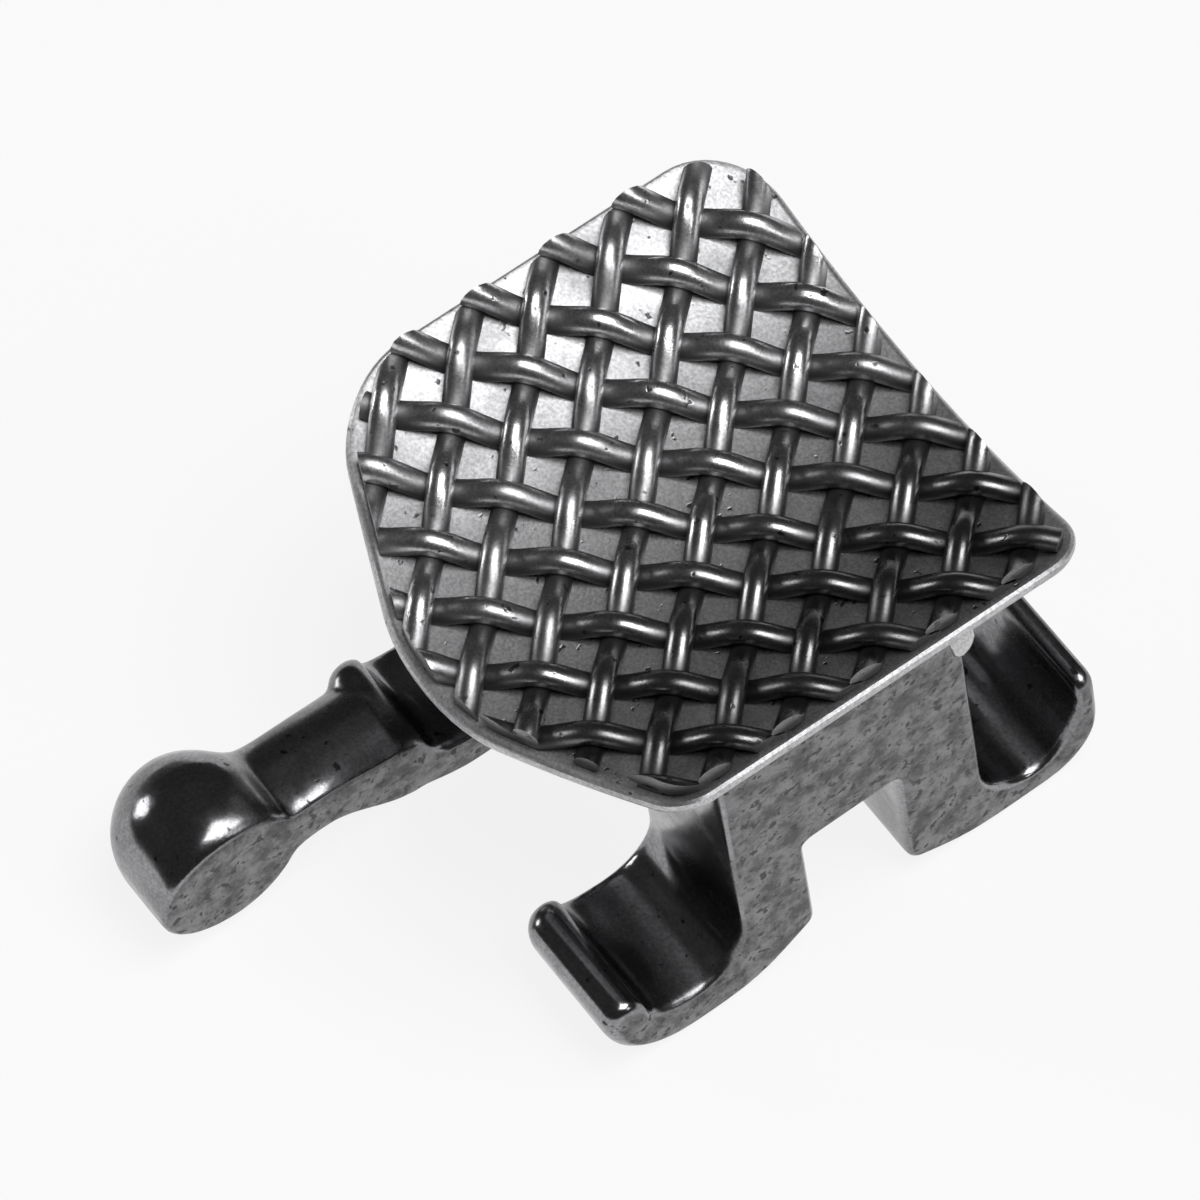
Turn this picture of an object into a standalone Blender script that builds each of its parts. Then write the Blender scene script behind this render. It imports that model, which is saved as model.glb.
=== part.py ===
"""Orthodontic twin bracket with a ball hook: a cast steel body brazed to a woven mesh pad.

Metres, +Z up. +Z points to the tooth, X runs along the archwire slot, -Y is the gum side with the hook.
The origin is the middle of the slot's floor, and the bracket lies on its tie wings and its hook's ball.
"""
import math

import bmesh
import bpy
from mathutils import Matrix, Vector

MM = 0.001

# Archwire slot
SLOT_WIDTH = 0.5588 * MM
SLOT_FLOOR_RADIUS = 0.04 * MM
SLOT_MOUTH_RADIUS = 0.09 * MM

# Cast body along the slot
BODY_NEAR_X = 1.40 * MM
BODY_FAR_X = -1.12 * MM
WING_GAP_NEAR_X = 0.58 * MM
WING_GAP_FAR_X = -0.45 * MM
END_EDGE_RADIUS = 0.04 * MM
LABIAL_Z = -1.005 * MM
NECK_TOP_Z = 1.40 * MM

# Tie wings on the occlusal side
OCCLUSAL_NECK = 0.75 * MM
OCCLUSAL_REACH = 1.47 * MM
OCCLUSAL_TIP_THICKNESS = 0.13 * MM
OCCLUSAL_TIP_Z = -0.33 * MM
OCCLUSAL_CHANNEL_Z = -0.83 * MM
OCCLUSAL_CHANNEL_DEPTH = 0.33 * MM
OCCLUSAL_OUTER_RADIUS = 0.33 * MM
OCCLUSAL_LABIAL_RADIUS = 0.90 * MM
OCCLUSAL_LABIAL_FLAT_Y = 0.80 * MM

# Tie wings on the gingival side
GINGIVAL_NECK = 0.69 * MM
GINGIVAL_REACH = 1.50 * MM
GINGIVAL_TIP_THICKNESS = 0.24 * MM
GINGIVAL_TIP_Z = -0.47 * MM
GINGIVAL_CHANNEL_Z = -0.73 * MM
GINGIVAL_CHANNEL_DEPTH = 0.30 * MM
GINGIVAL_OUTER_RADIUS = 0.42 * MM
GINGIVAL_LABIAL_RADIUS = 0.70 * MM
GINGIVAL_LABIAL_FLAT_Y = 0.85 * MM

# Corners of the wings, towards the gap and towards the ends
GAP_CORNER_RADIUS = 0.16 * MM
NEAR_END_CORNER_RADIUS = 0.10 * MM
FAR_END_CORNER_RADIUS = 0.15 * MM
# Shares of the tip's thickness and height that a corner may take, and of the outer wall for its fillet
CORNER_THINNING = 0.25
CORNER_DROP = 0.6
FILLET_SHARE = 0.94

# Bridge that carries the slot's floor between the wing pairs
BRIDGE_LABIAL_Z = -0.18 * MM
BRIDGE_SETBACK = 0.05 * MM
BRIDGE_EDGE_RADIUS = 0.07 * MM
BRIDGE_OVERLAP = 0.15 * MM

# Ball hook on the far gingival wing
HOOK_FACE_INSET = 0.01 * MM
HOOK_BALL_RADIUS = 0.415 * MM
HOOK_BALL_X = -0.80 * MM
HOOK_BALL_Y = -2.45 * MM
HOOK_BALL_LIFT = 0.005 * MM
HOOK_WIDTH_AT_WING = 0.60 * MM
HOOK_WIDTH_AT_WAIST = 0.54 * MM
HOOK_HEIGHT_IN_WING = 0.26 * MM
HOOK_HEIGHT_AT_WING = 0.52 * MM
HOOK_HEIGHT_AT_WAIST = 0.34 * MM
HOOK_WING_Z = -0.70 * MM
HOOK_WAIST_Z = -0.54 * MM
HOOK_WAIST_Y = -1.90 * MM
HOOK_BLEND = 0.05 * MM
HOOK_LEAST_BLEND = 0.01
HOOK_ROOT_DEPTH = 1.5
HOOK_SQUARENESS = 0.45
HOOK_FLAT_SHARE = 0.88

# Bonding pad
PAD_OCCLUSAL_Y = 1.49 * MM
PAD_NEAR_X = 1.46 * MM
PAD_FAR_X = -1.50 * MM
PAD_SHOULDER_Y = -0.93 * MM
PAD_APEX_X = 0.02 * MM
PAD_APEX_Y = -1.56 * MM
PAD_OCCLUSAL_NEAR_RADIUS = 0.24 * MM
PAD_OCCLUSAL_FAR_RADIUS = 0.42 * MM
PAD_GINGIVAL_NEAR_RADIUS = 0.26 * MM
PAD_GINGIVAL_FAR_RADIUS = 0.62 * MM
PAD_APEX_RADIUS = 1.20 * MM
PAD_CURVE_RADIUS = 3.74 * MM
PAD_TORQUE = math.radians(2.1)
PAD_UNDERSIDE_Z = 0.76 * MM
FOIL_THICKNESS = 0.10 * MM
BRAZE_GAP = 0.012 * MM

# Woven mesh bonded to the foil: 80 wires to the inch, laid at 45 degrees
WIRE_PITCH = 0.3175 * MM
WIRE_WIDTH = 0.136 * MM
WIRE_CROWN = 0.060 * MM
WIRE_SWING = 0.046 * MM
WIRE_MID_HEIGHT = 0.046 * MM
WIRE_FLANK = 0.70
WIRE_FOOT = 0.012 * MM
WEAVE_SHIFT_X = 0.108 * MM
WEAVE_SHIFT_Y = 0.130 * MM
WEAVE_SINK = 0.03 * MM
MESH_RIM = 0.085 * MM

# Fineness of the curves
ARC_STEPS = 7
CORNER_STEPS = 8
LABIAL_STEPS = 5
EDGE_STEPS = 4
FLOOR_STEPS = 3
HOOK_SIDES = 28
HOOK_RINGS = 30
FOIL_STRIPS = 28
MITRE_LIMIT = 0.5


def clear_scene():
    """Remove what the new file holds."""
    for item in list(bpy.data.objects):
        bpy.data.objects.remove(item, do_unlink=True)


def metal(name, colour, roughness):
    """A plain metal material."""
    material = bpy.data.materials.new(name)
    material.use_nodes = True
    shader = material.node_tree.nodes["Principled BSDF"]
    shader.inputs["Base Color"].default_value = (*colour, 1.0)
    shader.inputs["Metallic"].default_value = 1.0
    shader.inputs["Roughness"].default_value = roughness
    return material


def new_object(name, mesh, guide=False):
    """Link a mesh to the scene, drawn as a wire where it only shapes another."""
    item = bpy.data.objects.new(name, mesh)
    bpy.context.scene.collection.objects.link(item)
    if guide:
        item.hide_render = True
        item.display_type = "WIRE"
    return item


def boolean(target, other, operation, solver="MANIFOLD"):
    """Combine a guide object with the target. In the joins of this form the exact solver loses solids."""
    modifier = target.modifiers.new(other.name, "BOOLEAN")
    modifier.operation = operation
    modifier.solver = solver
    modifier.object = other


def closed_mesh(name, form):
    """Turn a closed form's faces outwards, split them into triangles and keep it as a mesh."""
    bmesh.ops.recalc_face_normals(form, faces=form.faces)
    bmesh.ops.triangulate(form, faces=form.faces)
    mesh = bpy.data.meshes.new(name)
    form.to_mesh(mesh)
    form.free()
    return mesh


def loft(name, rings):
    """Bridge rings of equal length into one closed mesh with a flat cap at each end."""
    form = bmesh.new()
    rows = [[form.verts.new(point) for point in ring] for ring in rings]
    count = len(rows[0])
    for lower, upper in zip(rows, rows[1:]):
        for i in range(count):
            j = (i + 1) % count
            form.faces.new((lower[i], lower[j], upper[j], upper[i]))
    form.faces.new(list(reversed(rows[0])))
    form.faces.new(rows[-1])
    return closed_mesh(name, form)


def arc(centre, radii, start, end, steps=ARC_STEPS):
    """Points along an ellipse's arc, angles in degrees."""
    points = []
    for i in range(steps + 1):
        angle = math.radians(start + (end - start) * i / steps)
        points.append((centre[0] + radii[0] * math.cos(angle), centre[1] + radii[1] * math.sin(angle)))
    return points


def round_corners(corners, steps=CORNER_STEPS):
    """An outline with each corner (x, y, radius) rounded."""
    outline = []
    count = len(corners)
    for i, (x, y, radius) in enumerate(corners):
        here = Vector((x, y))
        before = (Vector(corners[i - 1][:2]) - here).normalized()
        after = (Vector(corners[(i + 1) % count][:2]) - here).normalized()
        half = before.angle(after) / 2
        centre = here + (before + after).normalized() * radius / math.sin(half)
        reach = radius / math.tan(half)
        first = here + before * reach - centre
        last = here + after * reach - centre
        turn = first.angle_signed(last)
        for k in range(steps + 1):
            outline.append(centre + Matrix.Rotation(-turn * k / steps, 2) @ first)
    return outline


def inset_outline(points, depth):
    """Move an anticlockwise outline inwards by a depth."""
    moved = []
    count = len(points)
    for i, point in enumerate(points):
        here = Vector(point)
        before = (here - Vector(points[i - 1])).normalized()
        after = (Vector(points[(i + 1) % count]) - here).normalized()
        normal = Vector((-before.y - after.y, before.x + after.x)).normalized()
        lean = max(normal.dot(Vector((-before.y, before.x))), MITRE_LIMIT)
        moved.append(here + normal * depth / lean)
    return moved


def rounding(distance, radius):
    """How far a rounded edge draws back at a distance from its end."""
    if distance >= radius:
        return 0.0
    return radius - math.sqrt(radius ** 2 - (radius - distance) ** 2)


def wing_half(tuck, neck, reach, tip, tip_z, channel_z, depth, outer, labial, flat_y):
    """Half of the section, from the slot's mouth round the wing and up the neck, at +Y."""
    slot = SLOT_WIDTH / 2
    labial_z = LABIAL_Z + labial
    drop = labial - math.sqrt(labial ** 2 - (flat_y - slot - SLOT_MOUTH_RADIUS) ** 2)
    mouth_z = LABIAL_Z + drop + SLOT_MOUTH_RADIUS
    swing = math.degrees(math.asin((flat_y - slot - SLOT_MOUTH_RADIUS) / labial))
    points = arc((slot + SLOT_MOUTH_RADIUS, mouth_z), (SLOT_MOUTH_RADIUS,) * 2, 180, 270 - swing, EDGE_STEPS)
    points += arc((flat_y, labial_z), (labial,) * 2, 270 - swing, 270, LABIAL_STEPS)[1:]
    width = (reach - tip - neck) / 2
    thinner = min(tuck, CORNER_THINNING * tip)
    reach -= thinner
    tip -= thinner
    tip_z -= min(tuck, CORNER_DROP * (tip_z - tip / 2 - channel_z))
    outer_z = min(outer, FILLET_SHARE * (tip_z - tip / 2 - LABIAL_Z))
    points += arc((reach - outer, LABIAL_Z + outer_z), (outer, outer_z), 270, 360)
    points += arc((reach - tip / 2, tip_z - tip / 2), (tip / 2,) * 2, 0, 180)
    rise = tip_z - tip / 2 - channel_z
    points += arc((neck + width, channel_z + rise), (width, rise), 0, -90)[1:]
    points += arc((neck + width, channel_z + depth), (width, depth), -90, -180)[1:]
    points.append((neck, NECK_TOP_Z))
    return points


def wing_section(tuck, inset):
    """The body's full section, with the wings' tips drawn in by tuck and all edges by inset."""
    occlusal = wing_half(tuck, OCCLUSAL_NECK, OCCLUSAL_REACH, OCCLUSAL_TIP_THICKNESS, OCCLUSAL_TIP_Z,
                         OCCLUSAL_CHANNEL_Z, OCCLUSAL_CHANNEL_DEPTH, OCCLUSAL_OUTER_RADIUS,
                         OCCLUSAL_LABIAL_RADIUS, OCCLUSAL_LABIAL_FLAT_Y)
    gingival = wing_half(tuck, GINGIVAL_NECK, GINGIVAL_REACH, GINGIVAL_TIP_THICKNESS, GINGIVAL_TIP_Z,
                         GINGIVAL_CHANNEL_Z, GINGIVAL_CHANNEL_DEPTH, GINGIVAL_OUTER_RADIUS,
                         GINGIVAL_LABIAL_RADIUS, GINGIVAL_LABIAL_FLAT_Y)
    corner = SLOT_WIDTH / 2 - SLOT_FLOOR_RADIUS
    floor = arc((corner, -SLOT_FLOOR_RADIUS), (SLOT_FLOOR_RADIUS,) * 2, 90, 0, FLOOR_STEPS)
    other = [(-y, z) for y, z in floor + gingival]
    return inset_outline(floor + occlusal + list(reversed(other)), inset)


def wing_pair(name, gap_x, end_x, end_corner):
    """One pair of tie wings with its length of neck, from the gap to the body's end."""
    length = abs(end_x - gap_x)
    side = 1 if end_x > gap_x else -1
    stations = {0.0, length}
    for k in range(1, ARC_STEPS):
        fall = 1 - math.cos(math.radians(90 * k / ARC_STEPS))
        stations.add(GAP_CORNER_RADIUS * fall)
        stations.add(length - end_corner * fall)
    for k in range(1, EDGE_STEPS):
        fall = 1 - math.cos(math.radians(90 * k / EDGE_STEPS))
        stations.add(END_EDGE_RADIUS * fall)
        stations.add(length - END_EDGE_RADIUS * fall)
    rings = []
    for distance in sorted(stations):
        left = length - distance
        tuck = max(rounding(distance, GAP_CORNER_RADIUS), rounding(left, end_corner))
        inset = max(rounding(distance, END_EDGE_RADIUS), rounding(left, END_EDGE_RADIUS))
        x = gap_x + side * distance
        rings.append([(x, y, z) for y, z in wing_section(tuck, inset)])
    return loft(name, rings)


def bridge():
    """The block between the wing pairs, with the slot's floor and low walls."""
    slot = SLOT_WIDTH / 2
    radius = BRIDGE_EDGE_RADIUS
    low = BRIDGE_LABIAL_Z
    section = [(-slot, 0.0), (slot, 0.0), (slot, low)]
    occlusal = OCCLUSAL_NECK - BRIDGE_SETBACK
    gingival = GINGIVAL_NECK - BRIDGE_SETBACK
    section += arc((occlusal - radius, low + radius), (radius,) * 2, 270, 360, EDGE_STEPS)
    section += [(occlusal, NECK_TOP_Z), (-gingival, NECK_TOP_Z)]
    section += arc((-gingival + radius, low + radius), (radius,) * 2, 180, 270, EDGE_STEPS)
    section.append((-slot, low))
    ends = (WING_GAP_FAR_X - BRIDGE_OVERLAP, WING_GAP_NEAR_X + BRIDGE_OVERLAP)
    return loft("bridge", [[(x, y, z) for y, z in section] for x in ends])


def smooth_step(value, low, high):
    """A smooth change from 0 at low to 1 at high."""
    share = min(max((value - low) / (high - low), 0.0), 1.0)
    return share * share * (3 - 2 * share)


def soft_max(a, b, blend):
    """The larger of two lengths, eased where they are close."""
    share = min(max(0.5 + 0.5 * (a - b) / blend, 0.0), 1.0)
    return b + (a - b) * share + blend * share * (1 - share)


def hook():
    """The arm and ball, from inside the far gingival wing, with a flat side to the gap."""
    face_x = WING_GAP_FAR_X - HOOK_FACE_INSET
    ball_z = LABIAL_Z + HOOK_BALL_LIFT + HOOK_BALL_RADIUS
    root_y = -GINGIVAL_REACH + HOOK_ROOT_DEPTH * GINGIVAL_TIP_THICKNESS
    wing_y = -GINGIVAL_REACH + GINGIVAL_TIP_THICKNESS / 2
    root_z = (LABIAL_Z + GINGIVAL_CHANNEL_Z) / 2
    tail_y = HOOK_BALL_Y - HOOK_BALL_RADIUS
    rings = []
    for i in range(HOOK_RINGS):
        share = i / HOOK_RINGS
        y = root_y + (tail_y - root_y) * math.sin(math.radians(90 * share))
        to_wing = smooth_step(-y, -root_y, -wing_y)
        to_waist = smooth_step(-y, -wing_y, -HOOK_WAIST_Y)
        to_ball = smooth_step(-y, -HOOK_WAIST_Y, -HOOK_BALL_Y)
        width = HOOK_WIDTH_AT_WING + (HOOK_WIDTH_AT_WAIST - HOOK_WIDTH_AT_WING) * to_waist
        height = HOOK_HEIGHT_IN_WING + (HOOK_HEIGHT_AT_WING - HOOK_HEIGHT_IN_WING) * to_wing
        height += (HOOK_HEIGHT_AT_WAIST - HOOK_HEIGHT_AT_WING) * to_waist
        mid_z = root_z + (HOOK_WING_Z - root_z) * to_wing + (HOOK_WAIST_Z - HOOK_WING_Z) * to_waist
        mid_z += (ball_z - HOOK_WAIST_Z) * to_ball
        mid_x = face_x - width / 2
        mid_x += (HOOK_BALL_X - mid_x) * to_ball
        ball = math.sqrt(max(HOOK_BALL_RADIUS ** 2 - (y - HOOK_BALL_Y) ** 2, 0.0))
        fade = 1 - smooth_step(-y, -HOOK_BALL_Y - HOOK_BALL_RADIUS / 2, -HOOK_BALL_Y)
        blend = HOOK_BLEND * (fade + HOOK_LEAST_BLEND)
        half_x = soft_max(ball, fade * width / 2, blend)
        half_z = soft_max(ball, fade * height / 2, blend)
        rings.append(hook_ring(mid_x, y, mid_z, half_x, half_z, face_x))
    return loft("hook", rings)


def hook_ring(mid_x, y, mid_z, half_x, half_z, face_x):
    """One ring of the hook: round on its outer side, square with soft edges towards its flat side."""
    ring = []
    for k in range(HOOK_SIDES):
        angle = 2 * math.pi * (k + 0.5) / HOOK_SIDES
        across = math.cos(angle)
        upright = math.sin(angle)
        if across > 0:
            across = across ** HOOK_SQUARENESS
            upright = math.copysign(abs(upright) ** HOOK_SQUARENESS, upright)
            x = min(mid_x + (face_x - mid_x) * across / HOOK_FLAT_SHARE, face_x)
        else:
            x = mid_x + half_x * across
        ring.append((x, y, mid_z + half_z * upright))
    return ring


def pad_sag(x):
    """How far the pad's curve lifts it towards the tooth at a place along X."""
    return PAD_CURVE_RADIUS - math.sqrt(PAD_CURVE_RADIUS ** 2 - x ** 2)


def pad_outline():
    """The pad seen from the tooth: straight sides, and an arch towards the gum."""
    return round_corners([
        (PAD_NEAR_X, PAD_OCCLUSAL_Y, PAD_OCCLUSAL_NEAR_RADIUS),
        (PAD_FAR_X, PAD_OCCLUSAL_Y, PAD_OCCLUSAL_FAR_RADIUS),
        (PAD_FAR_X, PAD_SHOULDER_Y, PAD_GINGIVAL_FAR_RADIUS),
        (PAD_APEX_X, PAD_APEX_Y, PAD_APEX_RADIUS),
        (PAD_NEAR_X, PAD_SHOULDER_Y, PAD_GINGIVAL_NEAR_RADIUS),
    ])


def prism(name, outline, low, high):
    """An upright prism on an outline."""
    return loft(name, [[(p[0], p[1], z) for p in outline] for z in (low, high)])


def curved_plate(name, low, high, margin):
    """A plate that follows the pad's curve, wider than the pad by a margin."""
    left = PAD_FAR_X - margin
    right = PAD_NEAR_X + margin
    front = PAD_APEX_Y - margin
    back = PAD_OCCLUSAL_Y + margin
    rings = []
    for i in range(FOIL_STRIPS + 1):
        x = left + (right - left) * i / FOIL_STRIPS
        lift = pad_sag(x)
        section = [(front, low), (back, low), (back, high), (front, high)]
        rings.append([(x, y, z + lift) for y, z in section])
    return loft(name, rings)


def wire_height(across, along, lifted):
    """Height of a woven wire above the foil, or the sheet's sunk floor beside it."""
    reach = WIRE_WIDTH / 2
    if abs(across) > reach:
        return -WEAVE_SINK / 2
    swing = WIRE_SWING if lifted else -WIRE_SWING
    crown = WIRE_CROWN * math.sqrt(1 - (across / reach) ** 2)
    return WIRE_MID_HEIGHT + swing * math.cos(math.pi * along / WIRE_PITCH) + crown


def weave_lines(count):
    """Places across the wires where the woven surface bends, with the wire that each belongs to."""
    foot = WIRE_WIDTH / 2 + WIRE_FOOT
    flank = WIRE_WIDTH / 2 * WIRE_FLANK
    return [(wire, step) for wire in range(-count, count + 1) for step in (-foot, -flank, 0.0, flank, foot)]


def weave():
    """The woven sheet, as one skin of ridges over its sunk underside."""
    diagonal = math.hypot(PAD_NEAR_X - PAD_FAR_X, PAD_OCCLUSAL_Y - PAD_APEX_Y) / 2
    lines = weave_lines(math.ceil(diagonal / WIRE_PITCH))
    half_root = math.sqrt(0.5)
    form = bmesh.new()
    tops = []
    bottoms = []
    for wire_u, step_u in lines:
        top_row = []
        bottom_row = []
        for wire_v, step_v in lines:
            u = wire_u * WIRE_PITCH + step_u
            v = wire_v * WIRE_PITCH + step_v
            lifted = (wire_u + wire_v) % 2 == 0
            rise = max(wire_height(step_u, step_v, lifted), wire_height(step_v, step_u, not lifted))
            x = (u - v) * half_root + WEAVE_SHIFT_X
            y = (u + v) * half_root + WEAVE_SHIFT_Y
            base = FOIL_THICKNESS + pad_sag(min(max(x, -PAD_CURVE_RADIUS), PAD_CURVE_RADIUS))
            top_row.append(form.verts.new((x, y, base + rise)))
            bottom_row.append(form.verts.new((x, y, base - WEAVE_SINK)))
        tops.append(top_row)
        bottoms.append(bottom_row)
    last = len(lines) - 1
    for i in range(last):
        for j in range(last):
            form.faces.new((tops[i][j], tops[i + 1][j], tops[i + 1][j + 1], tops[i][j + 1]))
            form.faces.new((bottoms[i][j], bottoms[i][j + 1], bottoms[i + 1][j + 1], bottoms[i + 1][j]))
    for i in range(last):
        form.faces.new((tops[i][0], bottoms[i][0], bottoms[i + 1][0], tops[i + 1][0]))
        form.faces.new((tops[i + 1][last], bottoms[i + 1][last], bottoms[i][last], tops[i][last]))
        form.faces.new((tops[0][i + 1], bottoms[0][i + 1], bottoms[0][i], tops[0][i]))
        form.faces.new((tops[last][i], bottoms[last][i], bottoms[last][i + 1], tops[last][i + 1]))
    return closed_mesh("weave", form)


def pad_place():
    """Where the pad's own frame lies on the body: lifted to the neck and turned by its torque."""
    return Matrix.Translation((0.0, 0.0, PAD_UNDERSIDE_Z)) @ Matrix.Rotation(-PAD_TORQUE, 4, "X")


def build_pad(material):
    """The foil with its rim and the woven mesh on it."""
    outline = pad_outline()
    low = -2 * FOIL_THICKNESS
    high = PAD_NEAR_X
    place = pad_place()
    pad = new_object("mesh_pad", curved_plate("mesh_pad", 0.0, FOIL_THICKNESS, MESH_RIM))
    pad.matrix_world = place
    trim = new_object("pad_outline", prism("pad_outline", outline, low, high), guide=True)
    sheet = new_object("weave", weave(), guide=True)
    opening = inset_outline(outline, MESH_RIM)
    window = new_object("mesh_outline", prism("mesh_outline", opening, low, high), guide=True)
    for item in (trim, sheet, window):
        item.matrix_world = place
    boolean(sheet, window, "INTERSECT", "EXACT")
    boolean(pad, trim, "INTERSECT", "EXACT")
    boolean(pad, sheet, "UNION")
    pad.data.materials.append(material)
    return pad


def build_body(material):
    """The casting: two wing pairs, the bridge, the hook and the seat for the pad."""
    near_mesh = wing_pair("bracket_body", WING_GAP_NEAR_X, BODY_NEAR_X, NEAR_END_CORNER_RADIUS)
    far_mesh = wing_pair("far_wings", WING_GAP_FAR_X, BODY_FAR_X, FAR_END_CORNER_RADIUS)
    body = new_object("bracket_body", near_mesh)
    far_pair = new_object("far_wings", far_mesh, guide=True)
    middle = new_object("bridge", bridge(), guide=True)
    arm = new_object("hook", hook(), guide=True)
    seat_mesh = curved_plate("pad_seat", -BRAZE_GAP, NECK_TOP_Z, MESH_RIM)
    seat = new_object("pad_seat", seat_mesh, guide=True)
    seat.matrix_world = pad_place()
    boolean(body, middle, "UNION")
    boolean(body, far_pair, "UNION")
    boolean(body, arm, "UNION")
    boolean(body, seat, "DIFFERENCE")
    body.data.materials.append(material)
    return body


def main():
    """Build the bracket."""
    clear_scene()
    build_body(metal("cast_steel", (0.30, 0.30, 0.31), 0.28))
    build_pad(metal("mesh_steel", (0.42, 0.42, 0.43), 0.34))


main()
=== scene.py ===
"""Orthodontic twin bracket: a tumbled steel casting with a ball hook, brazed to a woven mesh pad.

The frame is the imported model's. New pieces are modelled in millimetres, and brought to metres when
they are done.
"""
import logging
import math
import random
from collections.abc import Callable, Sequence
from dataclasses import dataclass, field
from enum import Enum

import bmesh
import bpy
from mathutils import Matrix, Vector


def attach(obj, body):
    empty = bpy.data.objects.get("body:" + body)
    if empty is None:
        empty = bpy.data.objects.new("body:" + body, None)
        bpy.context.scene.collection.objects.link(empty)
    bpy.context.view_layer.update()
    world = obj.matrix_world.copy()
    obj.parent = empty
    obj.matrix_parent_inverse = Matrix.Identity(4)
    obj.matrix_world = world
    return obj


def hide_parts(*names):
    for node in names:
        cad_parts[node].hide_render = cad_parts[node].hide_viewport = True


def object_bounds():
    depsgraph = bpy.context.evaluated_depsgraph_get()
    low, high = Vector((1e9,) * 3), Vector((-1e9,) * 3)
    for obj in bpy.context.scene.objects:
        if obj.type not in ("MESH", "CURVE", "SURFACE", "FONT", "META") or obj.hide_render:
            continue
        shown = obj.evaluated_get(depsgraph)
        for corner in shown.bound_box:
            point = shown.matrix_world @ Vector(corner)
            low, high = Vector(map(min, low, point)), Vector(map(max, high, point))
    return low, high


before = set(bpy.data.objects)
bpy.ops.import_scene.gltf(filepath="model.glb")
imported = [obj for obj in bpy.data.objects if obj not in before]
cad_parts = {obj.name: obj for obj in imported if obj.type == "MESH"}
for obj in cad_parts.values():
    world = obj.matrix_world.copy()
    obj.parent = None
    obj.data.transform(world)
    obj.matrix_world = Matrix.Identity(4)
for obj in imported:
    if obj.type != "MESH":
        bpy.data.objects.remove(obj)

CAD_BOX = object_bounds()
LOG = logging.getLogger("bracket")
MILLIMETRE = 0.001
PER_METRE = 1000.0
HALF_ROOT = math.sqrt(0.5)
HAIR = 1e-5
ROUND = 0.5

Socket = bpy.types.NodeSocket
Colour = tuple[float, float, float]
Point = tuple[float, float, float]
Pair = tuple[float, float]


class Slot(Enum):
    """The record's material slots."""

    CAST = "cast_steel"
    MESH = "mesh_steel"


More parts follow.
